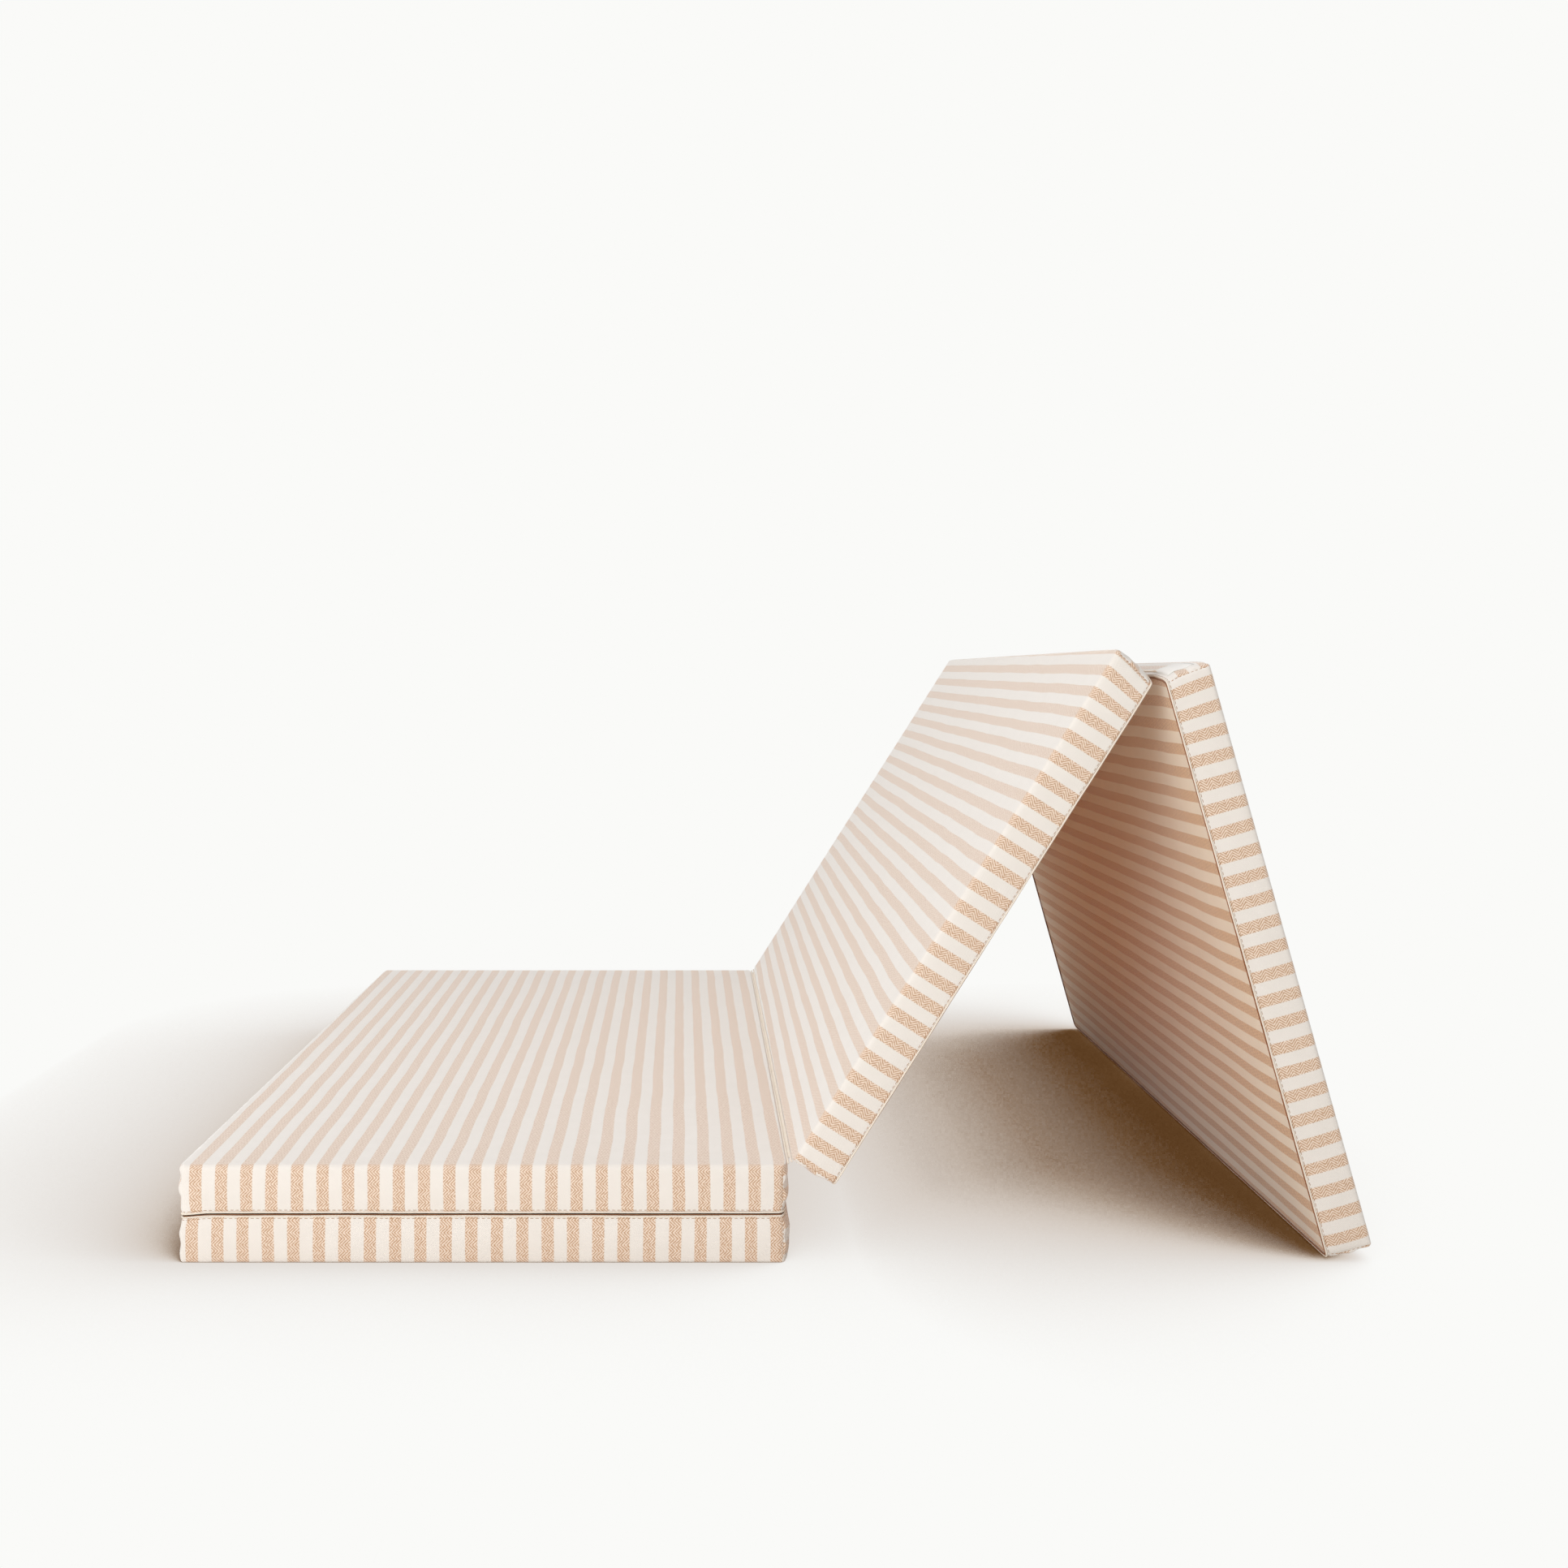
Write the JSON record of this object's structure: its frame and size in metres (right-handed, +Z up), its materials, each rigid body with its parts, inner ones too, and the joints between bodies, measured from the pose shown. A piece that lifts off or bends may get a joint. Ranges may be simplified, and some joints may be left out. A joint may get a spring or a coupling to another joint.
{
  "type": "folding futon mattress",
  "caption": "Zigzag folding foam mattress in striped ticking, with hinged sections standing half stacked and half as an A-frame, and a zip in the rear of every cover.",
  "frame": {"origin": "centre of the lowest section's underside, on the floor", "axes": "+Z up, +Y along the hinges from front to rear, +X across the folds towards the A-frame"},
  "size_m": [0.9807, 1.0046, 0.5022],
  "materials": {
    "ticking": "matte",
    "seam_tape": "matte",
    "foam": "matte",
    "zip_tape": "matte",
    "zip_teeth": "satin",
    "zip_metal": "satin"
  },
  "bodies": {
    "panel_1": {"foam_core_1": "foam", "cover_tray_1": "ticking", "cover_face_1": "ticking", "seam_lip_1": "seam_tape", "corner_seams_1": "seam_tape", "hinge_leaf_face_1": "seam_tape", "zip_tapes_1": "zip_tape", "zip_teeth_1": "zip_teeth", "zip_stops_1": "zip_metal"},
    "panel_2": {"foam_core_2": "foam", "cover_tray_2": "ticking", "cover_face_2": "ticking", "seam_lip_2": "seam_tape", "corner_seams_2": "seam_tape", "hinge_leaf_face_2": "seam_tape", "zip_tapes_2": "zip_tape", "zip_teeth_2": "zip_teeth", "zip_stops_2": "zip_metal", "hinge_leaf_base_2": "seam_tape"},
    "panel_3": {"foam_core_3": "foam", "cover_tray_3": "ticking", "cover_face_3": "ticking", "seam_lip_3": "seam_tape", "corner_seams_3": "seam_tape", "hinge_leaf_face_3": "seam_tape", "zip_tapes_3": "zip_tape", "zip_teeth_3": "zip_teeth", "zip_stops_3": "zip_metal", "hinge_leaf_base_3": "seam_tape"},
    "panel_4": {"foam_core_4": "foam", "cover_tray_4": "ticking", "cover_face_4": "ticking", "seam_lip_4": "seam_tape", "corner_seams_4": "seam_tape", "hinge_leaf_face_4": "seam_tape", "zip_tapes_4": "zip_tape", "zip_teeth_4": "zip_teeth", "zip_stops_4": "zip_metal"},
    "slider_1": {"zip_slider_1": "zip_metal"},
    "pull_1": {"zip_pull_1": "zip_metal"},
    "slider_2": {"zip_slider_2": "zip_metal"},
    "pull_2": {"zip_pull_2": "zip_metal"},
    "slider_3": {"zip_slider_3": "zip_metal"},
    "pull_3": {"zip_pull_3": "zip_metal"},
    "slider_4": {"zip_slider_4": "zip_metal"},
    "pull_4": {"zip_pull_4": "zip_metal"}
  },
  "joints": [
    {"name": "fold_1_2", "type": "hinge", "parent": "panel_1", "child": "panel_2", "pos_m": [-0.252, 0, 0.0399], "axis": [0, -1, 0], "range_deg": [0, 180]},
    {"name": "fold_2_3", "type": "hinge", "parent": "panel_2", "child": "panel_3", "pos_m": [0.252, 0, 0.0807], "axis": [0, 1, 0], "range_deg": [-122.4, 57.6]},
    {"name": "fold_3_4", "type": "hinge", "parent": "panel_3", "child": "panel_4", "pos_m": [0.55651, 0, 0.48438], "axis": [0, -1, 0], "range_deg": [-48, 132]},
    {"name": "zip_slide_1", "type": "slide", "parent": "panel_1", "child": "slider_1", "axis": [1, 0, 0], "range_m": [0, 0.3794]},
    {"name": "pull_swing_1", "type": "hinge", "parent": "slider_1", "child": "pull_1", "pos_m": [-0.1897, 0.5018, 0.0195], "axis": [0, 0, 1], "range_deg": [0, 180]},
    {"name": "zip_slide_2", "type": "slide", "parent": "panel_2", "child": "slider_2", "axis": [1, 0, 0], "range_m": [0, 0.3794]},
    {"name": "pull_swing_2", "type": "hinge", "parent": "slider_2", "child": "pull_2", "pos_m": [-0.1897, 0.5018, 0.0603], "axis": [0, 0, 1], "range_deg": [0, 180]},
    {"name": "zip_slide_3", "type": "slide", "parent": "panel_3", "child": "slider_3", "axis": [-0.5358, 0, -0.8443], "range_m": [0, 0.3794]},
    {"name": "pull_swing_3", "type": "hinge", "parent": "slider_3", "child": "pull_3", "pos_m": [0.5059, 0.5018, 0.44271], "axis": [0.8443, 0, -0.5358], "range_deg": [0, 180]},
    {"name": "zip_slide_4", "type": "slide", "parent": "panel_4", "child": "slider_4", "axis": [0.269, 0, -0.9631], "range_m": [0, 0.3794]},
    {"name": "pull_swing_4", "type": "hinge", "parent": "slider_4", "child": "pull_4", "pos_m": [0.59291, 0.5018, 0.42986], "axis": [0.9631, 0, 0.269], "range_deg": [0, 180]}
  ]
}
